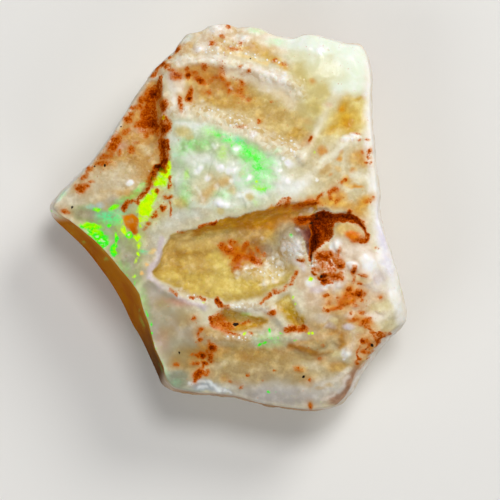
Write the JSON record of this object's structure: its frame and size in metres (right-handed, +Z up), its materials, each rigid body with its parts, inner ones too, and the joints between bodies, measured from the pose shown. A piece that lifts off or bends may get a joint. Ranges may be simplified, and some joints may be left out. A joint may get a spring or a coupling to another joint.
{
  "type": "rough opal",
  "caption": "Broken lump of rough pale opal with flashes of green fire, a sandy hollow and rusty iron stains, lying on its back.",
  "frame": {"origin": "middle of the flat underside that the stone lies on, under the middle of its box", "axes": "+Z up out of the best face; +Y along the stone's longest way, towards the wavy top edge; +X towards the straight right-hand edge"},
  "size_m": [0.0248, 0.027, 0.0095],
  "materials": {
    "opal": "waxy to glassy broken opal, milky white to cream, with ochre sandy patches, rust-brown iron stains and green play of colour"
  },
  "bodies": {
    "root": {"rough_opal": "opal"}
  },
  "joints": []
}
